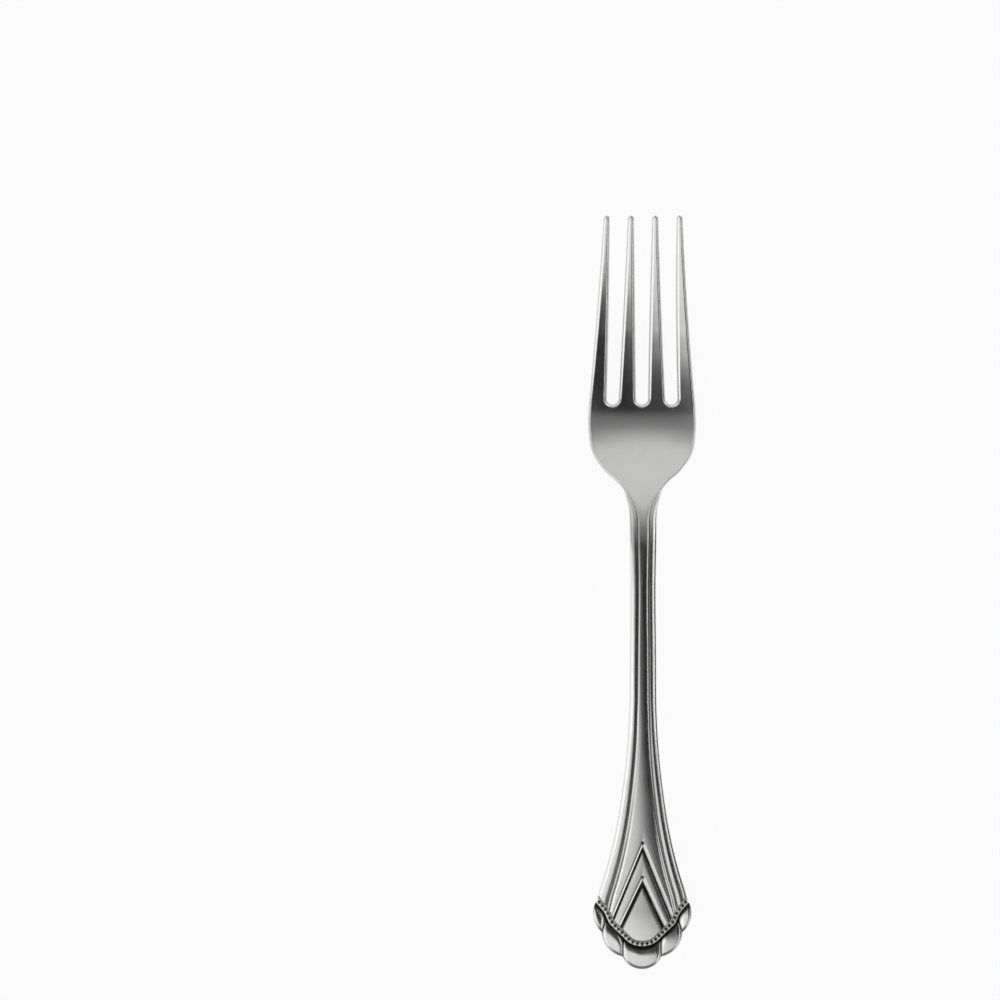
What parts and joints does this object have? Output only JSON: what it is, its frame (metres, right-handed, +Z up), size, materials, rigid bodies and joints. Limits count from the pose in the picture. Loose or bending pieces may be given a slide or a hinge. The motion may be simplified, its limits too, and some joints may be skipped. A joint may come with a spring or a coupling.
{
  "type": "pastry fork",
  "caption": "Slim table fork with a dished head, arched reeded handle, chevrons, a curved bead border and a scalloped end.",
  "frame": {"origin": "on the table, at the centre of the fork's length and width, with the fork lying tines up", "axes": "+Y along the fork towards the tine tips, +X to the right across the tines, +Z up from the table"},
  "size_m": [0.0222, 0.155, 0.0127],
  "materials": {
    "polished_steel": "polished"
  },
  "bodies": {
    "root": {"tine_outer_left": "polished_steel", "tine_inner_left": "polished_steel", "tine_inner_right": "polished_steel", "tine_outer_right": "polished_steel", "head": "polished_steel", "neck": "polished_steel", "stem": "polished_steel", "handle_flare": "polished_steel", "end_panel": "polished_steel", "chevron_outer": "polished_steel", "chevron_inner": "polished_steel", "bead_border": "polished_steel", "scallop_end": "polished_steel", "scallop_left": "polished_steel", "scallop_right": "polished_steel", "scallop_side_left": "polished_steel", "scallop_side_right": "polished_steel"}
  },
  "joints": []
}
